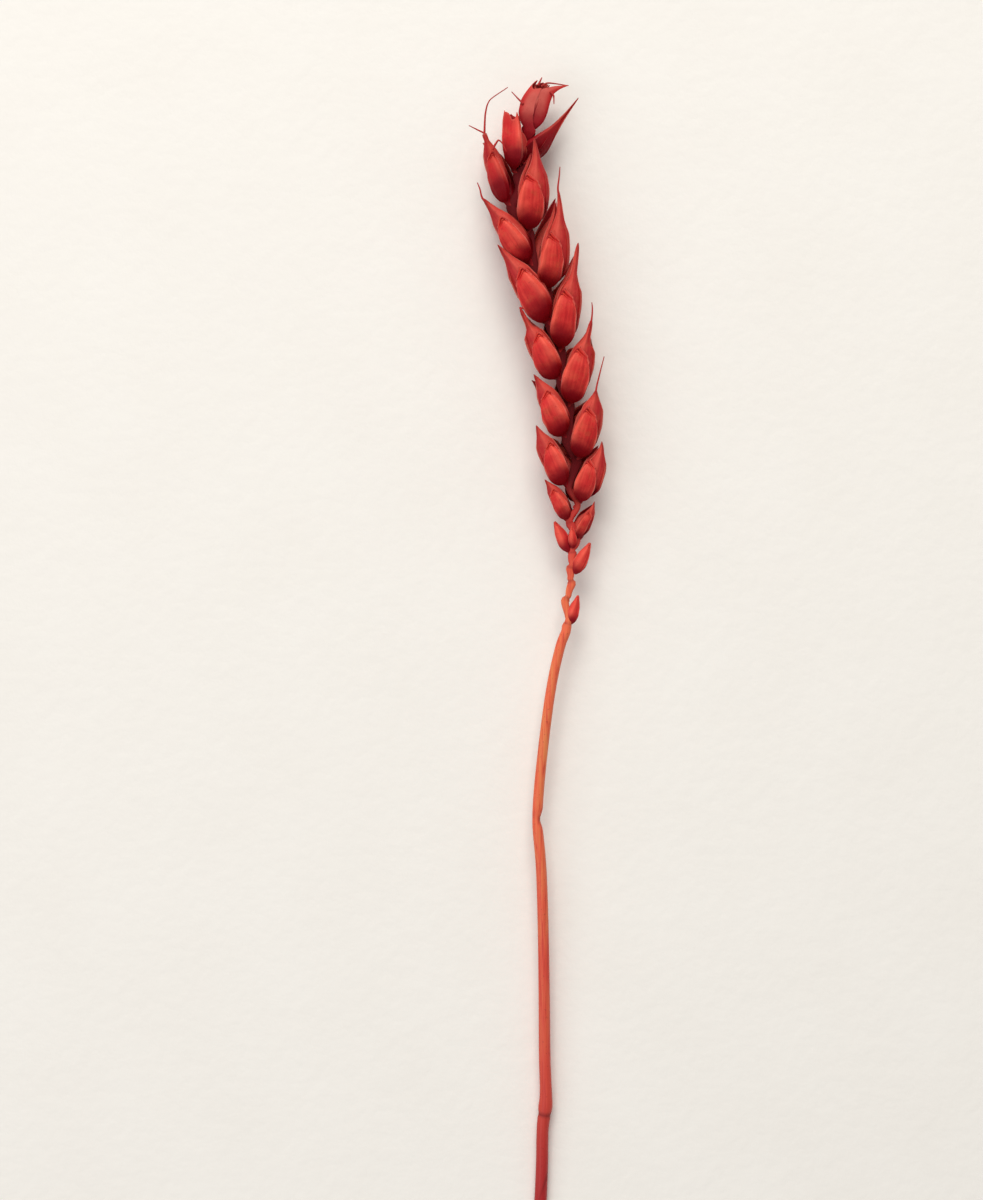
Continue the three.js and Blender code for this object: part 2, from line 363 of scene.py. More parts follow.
# %% Wrap a material
class Finish:
    """A material with one Principled shader, and the ways of adding nodes to it."""

    def __init__(self, name, shader_values):
        self.material = bpy.data.materials.new(name)
        self.material.use_nodes = True
        self.tree = self.material.node_tree
        self.shader = self.tree.nodes["Principled BSDF"]
        for socket, value in shader_values.items():
            self.shader.inputs[socket].default_value = value

    def node(self, kind, settings, sockets, output=0):
        """Adds a node: its settings first, then a value or a link for each named or numbered socket."""
        made = self.tree.nodes.new(kind)
        for setting, value in settings.items():
            setattr(made, setting, value)
        for socket, value in sockets.items():
            if isinstance(value, Value):
                self.tree.links.new(value.socket, made.inputs[socket])
            else:
                made.inputs[socket].default_value = value
        return Value(self, made.outputs[output])

    def mark(self, name):
        """A value that the mesh carries at its points."""
        return self.node("ShaderNodeAttribute", {"attribute_name": name}, {}, "Fac")

    def place(self, stretch=(1, 1, 1)):
        """Object coordinates, stretched by three factors."""
        here = self.node("ShaderNodeTexCoord", {}, {}, "Object")
        return self.node("ShaderNodeVectorMath", {"operation": "MULTIPLY"}, {0: here, 1: stretch})

    def join(self, x, y, z):
        """A vector from three values."""
        return self.node("ShaderNodeCombineXYZ", {}, {0: x, 1: y, 2: z})

    def noise(self, vector, scale, detail=2.0, roughness=0.5):
        """Soft random values from 0 to 1."""
        sockets = {"Vector": vector, "Scale": scale, "Detail": detail, "Roughness": roughness}
        return self.node("ShaderNodeTexNoise", {}, sockets)

    def mix(self, share, first, second):
        """A colour from first, at share 0, to second, at share 1."""
        sockets = {0: share, 6: first, 7: second}
        return self.node("ShaderNodeMix", {"data_type": "RGBA"}, sockets, 2)

    def layered(self, colour, layers):
        """Colours laid on a first one in turn, each where its mask is, and as far as its strength."""
        for mask, strength, over in layers:
            colour = self.mix(mask * strength, colour, over)
        return colour

    def feed(self, socket, value):
        """Links a value to the shader."""
        self.tree.links.new(value.socket, self.shader.inputs[socket])

    def bump(self, height, distance, strength=1.0):
        """Small relief: the surface is lit as if it rose by height times distance."""
        sockets = {"Height": height, "Distance": distance, "Strength": strength}
        self.feed("Normal", self.node("ShaderNodeBump", {}, sockets))


def paint(red, green, blue):
    """A colour as a screen shows it, 0 to 255, turned by the sRGB formula into the light it stands for."""
    shown = np.array([red, green, blue]) / 255
    light = np.where(shown <= 0.04045, shown / 12.92, ((shown + 0.055) / 1.055) ** 2.4)
    return (*light, 1.0)


# %% [markdown]
# ## The husks' finish
#
# Dyed husks are papery and matt. The dye takes unevenly: the body is a brick red with coral patches, and the
# keel is orange, with a painted highlight spread on the narrow flank beside it. The thin rims are pink,
# partly their own paler edge and partly a painted rim highlight. The foot, where the husk is thick, soaks up
# most dye and goes maroon, and part of that darkening is painted shade, as is the maroon on a husk's inner
# face. How dark a husk is also changes from spikelet to spikelet, partly with the dye and partly as painted
# shade where a spikelet lies more in shadow. Fine fibres run from foot to tip. The mesh carries how far
# along and across each point lies, so the fibres can follow the husk, however it leans. The colours are laid
# on like washes of paint, each through its own mask.

# %% Mix the husk finish
HUSK_MARKS = ("along", "across", "keel", "rim", "inside", "dye")
# Fibres and streaks: how many lie across a husk and along it, and how far the dye moves them, so that no two
# husks show the same ones
FIBRES = (26, 2.2, 50)
STREAKS = (7, 1.3, 90)
# Scales of the blotches, patches and specks, which lie on the ear as a whole
BLOTCHES = 520
PATCHES = 700
SPECKS = 2600
HUSK_ROUGHNESS = 0.46
HUSK_RELIEF = 0.1 * MM
HUSK_RELIEF_STRENGTH = 0.7
# Where the dye took thinly the husk shows tan, and where a fibre split it is dark
TAN = paint(186, 88, 56)
SPLIT = paint(128, 14, 18)
# Pale pink of the thin rims: partly their own colour, partly a painted rim highlight
RIM_PINK_AND_HIGHLIGHT = paint(230, 124, 108)
# Up to this share of its length the foot is darkest: soaked with dye, and darkened further by painted shade
FOOT_DARKEST = 0.08


def husk_finish(name, body, patch, keel_orange_and_highlight, foot_colour, tip_colour, foot_end):
    """Red husk: streaks, patches, an orange keel and pink rims, both with painted highlight, maroon painted
    shade inside, and maroon from the foot to foot_end, partly painted shade.
    """
    finish = Finish(name, {"IOR": 1.45, "Specular IOR Level": 0.25})
    along, across, keel, rim, inside, dye = (finish.mark(mark) for mark in HUSK_MARKS)

    def drawn_out(counts):
        """Noise that runs from foot to tip."""
        place = finish.join(across * counts[0], along * counts[1], dye * counts[2])
        return finish.noise(place, scale=1, detail=3, roughness=0.6)

    fibre = drawn_out(FIBRES)
    streak = drawn_out(STREAKS)
    blotch = finish.noise(finish.place(), BLOTCHES, detail=3)
    patches = finish.noise(finish.place(), PATCHES, detail=4, roughness=0.6)
    speck = finish.noise(finish.place(), SPECKS)
    layers = (
        ((blotch * 0.5 + streak * 0.4 - dye * 0.3).between(0.25, 0.6), 1, patch),
        (patches.between(0.5, 0.7), 0.3, TAN),
        ((streak * 0.6 + fibre * 0.4).between(0.48, 0.3), 0.45, SPLIT),
        # Orange keel, and on the narrow flank beside it a painted highlight
        (keel * (0.4 + blotch * 0.7), 1, keel_orange_and_highlight),
        # Pink rims: partly the rims' own colour, partly a painted rim highlight
        (rim * (0.45 + patches * 0.5), 1, RIM_PINK_AND_HIGHLIGHT),
        # Maroon towards the foot: partly the soaked-up dye, partly painted shade
        ((along - dye * 0.4 + blotch * 0.2).between(foot_end, FOOT_DARKEST), 1, foot_colour),
        # Darker husks where this mark is high: partly deeper dye, partly painted shade on husks that lie
        # more in shadow
        (dye.between(0.45, 1.1), 0.5, foot_colour),
        (along.between(0.8, 1), 0.5, tip_colour),
        (speck.between(0.62, 0.75), 0.35, foot_colour),
        # Painted shade: the inner face is painted maroon, as if in shadow, except near the rims
        (inside, 0.7, foot_colour),
    )
    finish.feed("Base Color", finish.layered(body, layers))
    finish.feed("Roughness", HUSK_ROUGHNESS + fibre * 0.25 - keel * 0.08)
    finish.bump(streak * 0.5 + fibre * 0.35 + speck * 0.25, HUSK_RELIEF, HUSK_RELIEF_STRENGTH)
    return finish


glume_finish = husk_finish("glume_red", body=paint(204, 38, 40), patch=paint(232, 74, 62),
                           keel_orange_and_highlight=paint(244, 96, 78), foot_colour=paint(142, 4, 21),
                           tip_colour=paint(210, 64, 56), foot_end=0.43)
floret_finish = husk_finish("floret_red", body=paint(184, 34, 40), patch=paint(208, 64, 58),
                            keel_orange_and_highlight=paint(224, 88, 74), foot_colour=paint(136, 2, 20),
                            tip_colour=paint(170, 40, 38), foot_end=0.28)
print("finishes:", glume_finish.material.name, floret_finish.material.name)

# %% [markdown]
# ## One surface for every husk
#
# A glume is boat-shaped: egg-shaped in outline, bellied across, with a keel off its middle and a blunt
# shoulder with a small tooth. A lemma is the same boat with a long beak. So one function makes both. Across
# the husk it swings v from edge to edge, along the husk it runs u from foot to tip, and a few smooth curves
# give the width, the height of the keel and the depth of the belly at each u. Sculpting would give one good
# husk; a function gives a hundred, none quite like the next.

# %% Draw smooth curves through a few points
def through(x, points):
    """A smooth curve through points, at x, that never swings past them.

    Between neighbours it is a cubic. Its slope at a point is the harmonic mean of the slopes of the two
    lines that meet there, or 0 where they point opposite ways.
    """
    at, value = np.array(points, float).T
    line = np.diff(value) / np.diff(at)
    before, after = line[:-1], line[1:]
    same_way = before * after > 0
    bend = np.where(same_way, 2 * before * after / np.where(same_way, before + after, 1), 0)
    slope = np.concatenate([line[:1], bend, line[-1:]])
    i = np.clip(np.searchsorted(at, x) - 1, 0, len(at) - 2)
    span = at[i + 1] - at[i]
    t = np.clip((x - at[i]) / span, 0, 1)
    start = (1 + 2 * t) * (1 - t) ** 2 * value[i] + t * (1 - t) ** 2 * span * slope[i]
    end = t * t * (3 - 2 * t) * value[i + 1] + t * t * (t - 1) * span * slope[i + 1]
    return start + end


# %% [markdown]
# The form of a husk is given in shares of the glume's length, so that small spikelets get small husks. The
# outline and the belly are curves along the husk. The crest, the keel's height above the spikelet's middle,
# is a curve along the spikelet, because there the lemma has to stay just under the glume.

# %% Describe a form
@dataclass
class HuskForm:
    """What sets one kind of husk apart, in shares of the glume's length.

    keel_at is the keel's place at the foot and at the tip, from -1 beside the rachis to 1 at the outer edge.
    flank_drop is the depth of the flank beside the rachis as a share of the other's. keel_tint is
    how strongly the keel's orange and its painted highlight show, and homing how late a husk that stands
    aside comes back to the axis.
    """
    half_width: float
    outline: tuple
    crest: tuple
    depth: float
    keel_at: tuple
    ridge: float
    thickness: float
    foot: float = 0.0
    shoulder: float = 0.0
    tooth: float = 0.0
    lip: float = 0.0
    pleat: float = 0.0
    margin: float = 0.03
    wrinkle: float = 0.018
    keel_tint: float = 1.0
    flank_drop: float = 1.0
    homing: float = 4.0
    rows: int = 56
    columns: int = 33


# %% Draw the fine shapes on a husk
KEEL_WIDTH = 0.13
KEEL_GROWTH = ((0, 0.2), (0.3, 0.7), (0.9, 1), (1, 0.8))
# Lip: the rim's fold outwards, and the groove below it, in shares of the lip's height and length
LIP_LENGTH = 0.1
LIP_GROOVE = 0.6
LIP_GROOVE_LENGTH = 0.3
# Pleats: fine folds across the husk beside the tooth
PLEAT_LENGTH = 0.055
PLEAT_PLACE = 0.91
PLEAT_REACH = 0.06
PLEAT_WIDTH = 0.45
# Margin: the thin strip along the long edges, which bends back outwards beyond a shallow groove
MARGIN_START = 0.86
MARGIN_CURVE = 1.5
GROOVE_PLACE = 0.8
GROOVE_WIDTH = 0.06
GROOVE_DEPTH = 0.25
NERVES = 5
NERVE_HEIGHT = 0.003


def bell(at, middle, spread):
    """1 at the middle, falling off smoothly to 0 within about two spreads."""
    return np.exp(-((at - middle) / spread) ** 2)


def ramp(at, start, full):
    """A straight rise from 0 at the start to 1 where it is full."""
    return np.clip((at - start) / (full - start), 0, 1)


def relief(form, u, v, from_keel):
    """How high the keel's ridge, the lip, the pleats, the margins and the nerves stand at each u and v.

    The ridge and all grooves are bells, the lip and the margins are ramps to a power, and the pleats and
    nerves are cosines. The margins and nerves fade towards foot and tip.
    """
    ridge = through(u, KEEL_GROWTH) * bell(from_keel, 0, KEEL_WIDTH)
    lip_groove = LIP_GROOVE * bell(u, 1 - LIP_LENGTH, LIP_GROOVE_LENGTH * LIP_LENGTH)
    lip = ramp(u, 1 - LIP_LENGTH, 1) ** 2 - lip_groove
    pleats = np.cos(2 * np.pi * (1 - u) / PLEAT_LENGTH) * bell(u, PLEAT_PLACE, PLEAT_REACH)
    pleats = pleats * bell(from_keel, 0, PLEAT_WIDTH)
    from_middle = np.abs(np.sin(v * np.pi / 2))
    groove = GROOVE_DEPTH * bell(from_middle, GROOVE_PLACE, GROOVE_WIDTH)
    margins = ramp(from_middle, MARGIN_START, 1) ** MARGIN_CURVE - groove
    nerves = np.cos(2 * np.pi * NERVES * v) * np.cos(v * np.pi / 2)
    fade = np.sin(np.pi * u)
    height = form.ridge * ridge + form.lip * lip + form.pleat * pleats
    return height + form.margin * margins * np.sqrt(fade) + NERVE_HEIGHT * nerves * fade


# %% Work out the surface of a husk
TOOTH_WIDTH = 0.17
# Powers that set how square the shoulders and the belly are
SHOULDER_CURVE = 1.8
BELLY_CURVE = 0.9
# Chance: waves of the edges, how much widths vary, and how many wrinkles of what pace a husk has
EDGE_WAVE = 0.035
WIDTH_CHANCE = 0.04
WRINKLES = 3
WRINKLE_PACES = (0.4, 1.6)
# A torn rim: how many points it has, the least of them against the most, and how much deeper the tear is at
# the inner edge than at the outer
TEAR_POINTS = 9
TEAR_LEAST = 0.3
TEAR_SLANT = 0.8


def wrinkles(u, v, chance):
    """Uneven drying: the mean of slow waves along and across with random pace and start."""
    height = 0
    for _ in range(WRINKLES):
        pace_u, pace_v = chance.uniform(*WRINKLE_PACES, 2)
        start = chance.uniform(0, 2 * np.pi)
        height = height + np.sin(2 * np.pi * (pace_u * u + pace_v * v / 2) + start) / WRINKLES
    return height


def husk_surface(form, length, chance, torn):
    """Away, along and out for each u and v, in glume lengths, and each point's distance from the keel.

    away = half width * outline(u) * sin(v * 90 deg)
    along = foot + (length - foot) * u * rim(v), where the rim falls off at the shoulders
    out = crest(along) - depth * outline(u) * (1 - cos(distance from the keel * 90 deg)) + relief + wrinkles,
    where the flank beside the rachis may have less depth
    """
    u = np.linspace(0, 1, form.rows)[:, None]
    v = np.linspace(-1, 1, form.columns)[None, :]
    keel = form.keel_at[0] + (form.keel_at[1] - form.keel_at[0]) * u
    from_keel = (v - keel) / (1 - keel * np.sign(v - keel))
    at_rim = from_keel[-1:]
    rim = 1 - form.shoulder * np.abs(at_rim) ** SHOULDER_CURVE + form.tooth * bell(at_rim, 0, TOOTH_WIDTH)
    tear = np.interp(v, np.linspace(-1, 1, TEAR_POINTS), chance.uniform(TEAR_LEAST, 1, TEAR_POINTS))
    tear = tear * (1 - TEAR_SLANT * v)
    along = form.foot + (length - form.foot) * u * (rim - torn * tear)
    share = through(u, form.outline) * (1 + EDGE_WAVE * wrinkles(2 * u, 0, chance))
    half_width = form.half_width * chance.uniform(1 - WIDTH_CHANCE, 1 + WIDTH_CHANCE)
    away = half_width * share * np.sin(v * np.pi / 2)
    depth = form.depth * np.where(from_keel < 0, form.flank_drop, 1)
    out = through(along, form.crest) - depth * share * (1 - np.cos(from_keel * np.pi / 2) ** BELLY_CURVE)
    out = out + relief(form, u, v, from_keel)
    out = out + form.wrinkle * wrinkles(u, v, chance) * np.sqrt(np.sin(np.pi * u))
    points = np.stack(np.broadcast_arrays(away, along, out), axis=-1)
    return points, u, v, from_keel


# %% [markdown]
# A husk is thin but not a sheet: the rim shows its thickness. The inner face is the outer one moved inwards
# along its normals, which come from the cross product of the two directions of the grid. At the two long
# edges the faces meet, so each row of the grid, out along the outside and back along the inside, is a ring.

# %% Give the surface its thickness
# How far the keel's colour spreads on the broad flank, and on the narrow one, where the spread colour is a
# painted highlight
KEEL_GLOW = 0.17
FLANK_HIGHLIGHT = 0.7
# A husk is as thick as its form says where it is wider than this share, and thins out beyond. Towards the
# long edges it thins out by this power.
SLIM_BELOW = 0.2
EDGE_THINNING = 6
# The rims' pale pink, partly their own colour and partly a painted rim highlight: where across the husk it
# starts and is full, where along it, and where the end rim starts
RIM_ACROSS = (0.88, 0.96)
RIM_ALONG = (0.15, 0.4)
END_RIM = 0.96


def there_and_back(outside, inside):
    """A ring from each row: out along the outside, back along the inside without its two end points."""
    return np.concatenate([outside, inside[:, -2:0:-1]], axis=1)


def husk_rings(form, length, chance, torn, dye):
    """Rings of a husk in glume lengths, with the marks that its finish reads."""
    outer, u, v, from_keel = husk_surface(form, length, chance, torn)
    normal = np.cross(np.gradient(outer, axis=1), np.gradient(outer, axis=0))
    normal /= np.linalg.norm(normal, axis=-1, keepdims=True)
    slim = np.minimum(1, through(u, form.outline) / SLIM_BELOW)
    thickness = np.sign(form.depth) * form.thickness * slim * (1 - v ** EDGE_THINNING)
    inner = outer - thickness[..., None] * normal
    along = np.broadcast_to(u, from_keel.shape)
    across = np.broadcast_to(v, from_keel.shape)
    # The keel's orange, spread wide over the narrow flank as a painted highlight
    keel = form.keel_tint * bell(from_keel, 0, np.where(from_keel > 0, KEEL_GLOW, FLANK_HIGHLIGHT))
    edge = ramp(np.abs(np.sin(across * np.pi / 2)), *RIM_ACROSS) * ramp(along, *RIM_ALONG)
    rim = np.maximum(edge, ramp(along, END_RIM, 1))
    # The inside mark is painted shade on the inner face, fading out towards the rims
    marks = {"along": there_and_back(along, along), "across": there_and_back(across, across),
             "keel": there_and_back(keel, 0 * keel), "rim": there_and_back(rim, rim),
             "inside": there_and_back(0 * rim, 1 - edge), "dye": dye}
    return there_and_back(outer, inner), marks


# %% Lay a husk on its spikelet
def rolled(rings, angle):
    """Turns rings about the spikelet's length."""
    away, along, out = np.moveaxis(rings, -1, 0)
    cos, sin = np.cos(angle), np.sin(angle)
    return np.stack([away * cos - out * sin, along, away * sin + out * cos], axis=-1)


LOOSE_ROLL = np.radians(5)
# How dark a husk is, from 0 to 1, partly how deep the dye took and partly painted shade where a row or a
# spikelet
# lies more in shadow: in each row, in the spikelets that differ, and by how much husks vary
DYE_AND_SHADE = {"left": 0.38, "right": 0.24, "top": 0.9, "stunted": 0.3,
       "right_8": 0.9, "left_7": 0.72, "left_8": 0.6, "right_7": 0.42}
DYE_SPREAD = 0.12


def own_or_row(values, name):
    """The value that a table holds for a spikelet's own name, or else for its row."""
    return values.get(name, values[name.split("_")[0]])


def grow_husk(spikelet, form, length, facing, chance, shift=0.0, torn=0.0, roll=0.0):
    """One husk of a spikelet: rings in glume lengths, rolled a little, laid on its front or its back.

    The husk stands shift to the right of the spikelet's axis, but its tip comes back to the axis.
    """
    dye = own_or_row(DYE_AND_SHADE, spikelet.name) + chance.uniform(-DYE_SPREAD, DYE_SPREAD)
    rings, marks = husk_rings(form, length, chance, torn, dye)
    rings = rolled(rings, roll + chance.uniform(-LOOSE_ROLL, LOOSE_ROLL))
    placed = spikelet.place(rings * spikelet.glume, facing)
    placed[..., 0] += shift * (1 - marks["along"] ** form.homing)
    return closed_shell(placed, marks)


# %% [markdown]
# ## Glumes
#
# The glumes are what the eye meets first: two to a spikelet, plump below and narrowing to the shoulder. The
# keel runs along the inner side, next to the rachis, and climbs towards the middle at the tooth, so the
# broad flank faces away from the rachis and the narrow one falls into the groove between the rows.

# %% Describe the glumes
GLUME = HuskForm(
    half_width=0.25,
    outline=((0, 0.16), (0.04, 0.42), (0.1, 0.64), (0.2, 0.85), (0.33, 0.97), (0.45, 1), (0.6, 0.98),
             (0.75, 0.89), (0.88, 0.73), (1, 0.48)),
    crest=((0, 0.12), (0.08, 0.26), (0.22, 0.41), (0.42, 0.5), (0.62, 0.515), (0.95, 0.41), (1.4, 0.39),
           (1.7, 0.37)),
    depth=0.23,
    keel_at=(-0.75, -0.4),
    ridge=0.022,
    thickness=0.022,
    shoulder=0.21,
    tooth=0.05,
    lip=0.012,
    pleat=0.028,
    margin=0.045,
    rows=72,
    columns=37,
)
GLUME_LENGTH = 0.95
SMOOTH_GLUME = replace(GLUME, shoulder=0, tooth=0, lip=0, pleat=0, wrinkle=0.022)
TORN_GLUME = replace(
    SMOOTH_GLUME,
    half_width=0.24,
    outline=((0, 0.2), (0.05, 0.42), (0.15, 0.7), (0.35, 0.95), (0.55, 1), (0.8, 0.92), (1, 0.76)),
    shoulder=0.04,
)
TORN_BACK = replace(TORN_GLUME, half_width=0.19)
POINTED_GLUME = replace(
    SMOOTH_GLUME,
    half_width=0.27,
    outline=((0, 0.85), (0.1, 0.98), (0.2, 1), (0.3, 0.87), (0.42, 0.62), (0.53, 0.39), (0.64, 0.22),
             (0.8, 0.1), (1, 0.03)),
    homing=1.0,
    foot=-0.12,
    crest=((0, 0.06), (0.15, 0.16), (0.4, 0.26), (0.8, 0.24), (1.2, 0.2), (1.75, 0.16)),
    depth=0.22,
)
POINTED_BACK = replace(POINTED_GLUME, half_width=0.16)
# Both husks of the topmost spikelet start far down and have a faint keel and no margin
TOP_HUSK = {"foot": -0.45, "keel_tint": 0.2, "margin": 0}
TOP_RIGHT = replace(
    POINTED_GLUME,
    **TOP_HUSK,
    half_width=0.24,
    outline=((0, 0.05), (0.1, 0.25), (0.2, 0.5), (0.29, 0.8), (0.37, 1), (0.64, 1), (0.78, 0.9),
             (0.87, 0.6), (0.95, 0.28), (1, 0.03)),
    depth=0.4,
    crest=((-0.45, 0.02), (0, 0.1), (0.1, 0.19), (0.35, 0.3), (0.6, 0.33), (1.05, 0.35), (1.25, 0.45),
           (1.47, 0.69)),
)
TOP_LEFT = replace(
    TORN_GLUME,
    **TOP_HUSK,
    half_width=0.26,
    outline=((0, 0.05), (0.1, 0.3), (0.2, 0.62), (0.3, 0.88), (0.42, 0.98), (0.6, 1), (0.82, 0.92),
             (1, 0.76)),
    depth=0.36,
    crest=((-0.45, 0.02), (0, 0.08), (0.15, 0.22), (0.4, 0.34), (0.65, 0.35), (1.0, 0.27), (1.22, 0.19),
           (1.42, 0.08)),
)

# %% [markdown]
# Most glumes are alike, apart from what chance gives them. Some spikelets are seen a little more from their
# edge, so their husks are narrower. The last spikelets differ most: one glume is torn off square, one runs
# out into a point and is turned away, and the topmost spikelet stands edge on, with a torn husk on its left
# and a pointed one on its right.

# %% Grow the glumes
SIDES = {"front": 1, "back": -1}
# In the left row the keel is higher and nearer the middle, and the flank towards the rachis is flatter
LEFT_GLUME = replace(GLUME, keel_at=(-0.52, -0.28), flank_drop=0.4, ridge=0.034)
# The spikelets whose husks are narrower than their forms say, and by what factor
NARROWED = {"left_1": 0.9, "left_5": 0.94, "left_6": 0.92, "left_7": 0.74, "right_1": 0.65, "right_4": 0.93,
            "right_5": 0.9, "right_6": 0.93, "right_8": 0.5}
# Form, length, how deep the tear goes, and roll for the glumes that differ
ODD_GLUMES = {
    ("left_8", "front"): (TORN_GLUME, 1.4, 0.26, 0),
    ("left_8", "back"): (TORN_BACK, 1.36, 0.12, 0),
    ("right_8", "front"): (POINTED_GLUME, 1.64, 0, np.radians(-22)),
    ("right_8", "back"): (POINTED_BACK, 1.2, 0, 0),
    ("top", "front"): (TOP_RIGHT, 1.45, 0, 0),
    ("top", "back"): (TOP_LEFT, 1.44, 0.15, 0),
}
# How far glumes stand to the right of the axis: in each row and in the spikelets that differ. Most of the
# left row's front glumes are pressed outwards, and the back husks of both rows close in on the rachis.
FRONT_GLUMES = {"left": -0.4 * MM, "right": 0.0, "top": 0.0,
                "left_1": 0.2 * MM, "left_2": -0.6 * MM, "left_4": -0.6 * MM, "left_8": 0.0,
                "right_1": -0.5 * MM, "right_8": -1.3 * MM}
BACK_HUSKS = {"left": 0.7 * MM, "right": -1.2 * MM, "top": 0.0, "left_3": 1.3 * MM, "left_8": 0.2 * MM}
# How much lengths vary, and the number that chance starts from
LENGTH_CHANCE = 0.02
CHANCE_SEED = 17


def narrowed(form, name):
    """The form, narrower where a spikelet's husks are."""
    return replace(form, half_width=form.half_width * NARROWED.get(name, 1))


glume_shells = {}
chance = np.random.default_rng(CHANCE_SEED)
for spikelet in spikelets.values():
    row_form = LEFT_GLUME if spikelet.name.startswith("left") else GLUME
    usual = (narrowed(row_form, spikelet.name), GLUME_LENGTH, 0, 0)
    for side, facing in SIDES.items():
        form, length, torn, roll = ODD_GLUMES.get((spikelet.name, side), usual)
        length = length * chance.uniform(1 - LENGTH_CHANCE, 1 + LENGTH_CHANCE)
        shift = own_or_row(FRONT_GLUMES if facing > 0 else BACK_HUSKS, spikelet.name)
        husk = grow_husk(spikelet, form, length, facing, chance, shift, torn, roll)
        node = f"{spikelet.name}_glume_{side}"
        glume_shells[node] = husk
        triangle_total += add_piece(node + ".husk", [husk], glume_finish, node)
print("glumes:", 2 * len(spikelets), " triangles so far:", triangle_total)

# %% [markdown]
# ## Florets
#
# Behind each glume stands a floret, and a third one between them. Each floret is a lemma, whose beak shows
# above the glume, closed on its inner side by a palea. They grow from one joint at the spikelet's foot, so
# the florets of a spikelet are one piece. The lemma's belly is positive, because it faces out like the
# glume, and the palea's negative, because it faces the middle of the spikelet.

# %% Describe the florets' husks
LEMMA = HuskForm(
    half_width=0.25,
    outline=(),
    crest=((0.1, 0.06), (0.25, 0.18), (0.45, 0.31), (0.65, 0.35), (0.9, 0.36), (1.15, 0.365), (1.5, 0.39),
           (1.8, 0.4)),
    depth=0.24,
    keel_at=(-0.25, 0),
    ridge=0.02,
    thickness=0.018,
    foot=0.1,
)
PALEA = HuskForm(
    half_width=0.225,
    outline=(),
    crest=((0.12, 0.04), (0.35, 0.1), (0.7, 0.14), (1.1, 0.24), (1.5, 0.36)),
    depth=-0.1,
    keel_at=(0, 0),
    ridge=-0.01,
    thickness=0.012,
    foot=0.12,
    rows=28,
    columns=17,
)
MIDDLE_LEMMA = HuskForm(
    half_width=0.2,
    outline=(),
    crest=((0.24, 0.02), (0.45, 0.13), (0.75, 0.17), (1.05, 0.12), (1.5, 0.03)),
    depth=0.15,
    keel_at=(0, 0),
    ridge=0.014,
    thickness=0.014,
    foot=0.24,
    rows=40,
    columns=21,
)

# %% [markdown]
# A lemma's body is as long as the glume that covers it, but its beak may be short or long. So its outline is
# put together from two parts: the body at fixed places along the spikelet, and the beak, spread over the
# length that is left. A short beak, or one at the back, tapers straight, a long one is hollowed towards its
# point, and a few narrow at once to a spike or are broken off.

# %% Put a lemma's outline together
LEMMA_BODY = ((0, 0.2), (0.12, 0.62), (0.34, 0.95), (0.65, 1), (1, 0.84))
NECK = 0.95
# A short lemma's neck lies at this share of its length
SHORT_NECK = 0.72
# Widths along the beak, straight on a short one and hollowed on a long one
BEAK_PLACES = (0.25, 0.46, 0.7, 0.9, 1)
SHORT_BEAK = (0.64, 0.44, 0.24, 0.09, 0.02)
LONG_BEAK = (0.46, 0.25, 0.15, 0.08, 0.02)
# Lengths of the whole lemma, in glume lengths, with a short and with a long beak
BEAK_LENGTHS = (1.35, 1.75)


def beak_widths(length, hollow=1.0):
    """Widths along a beak: straight on a short lemma, and the more hollowed the longer it is."""
    hollowed = hollow * np.interp(length, BEAK_LENGTHS, (0, 1))
    return (1 - hollowed) * np.array(SHORT_BEAK) + hollowed * np.array(LONG_BEAK)


def beaked(form, length, widths):
    """The form with an outline for its length: the body from its foot to the neck, then the beak."""
    neck = min(NECK, SHORT_NECK * length) - form.foot
    whole = length - form.foot
    body = [(at * neck / whole, width) for at, width in LEMMA_BODY]
    beak = [((neck + at * (whole - neck)) / whole, width) for at, width in zip(BEAK_PLACES, widths)]
    return replace(form, outline=tuple(body + beak))


# %% Grow the florets
# A beak that is broken off broad, and beaks that narrow at once to a spike
BROKEN_BEAK = (0.64, 0.44, 0.26, 0.26, 0.26)
SPIKE_BEAK = (0.32, 0.19, 0.16, 0.11, 0.04)
OWN_BEAKS = {"left_7": BROKEN_BEAK, "left_4": SPIKE_BEAK, "right_4": SPIKE_BEAK, "right_5": SPIKE_BEAK}
# Lengths of the back lemma, against the front one's, of a palea, against its lemma's, and of the middle
# floret's husks
BACK_LENGTHS = (0.95, 0.99)
PALEA_LENGTH = 0.84
MIDDLE_LENGTH = 0.9
# Spikelets whose florets are hidden by a long glume: how far they reach, in glume lengths
SHORT_FLORETS = {"left_8": 1.0, "right_8": 0.8, "top": 1.3}
# Two of the last spikelets are pressed flatter than the rest
PRESSED = {"top": 0.5, "right_8": 0.5}
# In both rows most front lemmas stand out to the right from behind the glumes
FRONT_LEMMAS = {"left": 0.5 * MM, "right": 0.8 * MM, "top": 0.0,
                "left_2": -0.2 * MM, "left_4": -0.3 * MM, "left_7": -0.1 * MM, "right_1": 0.2 * MM,
                "right_3": 0.4 * MM, "right_4": 0.1 * MM, "right_5": 0.1 * MM, "right_6": 1.0 * MM,
                "right_8": -0.9 * MM}


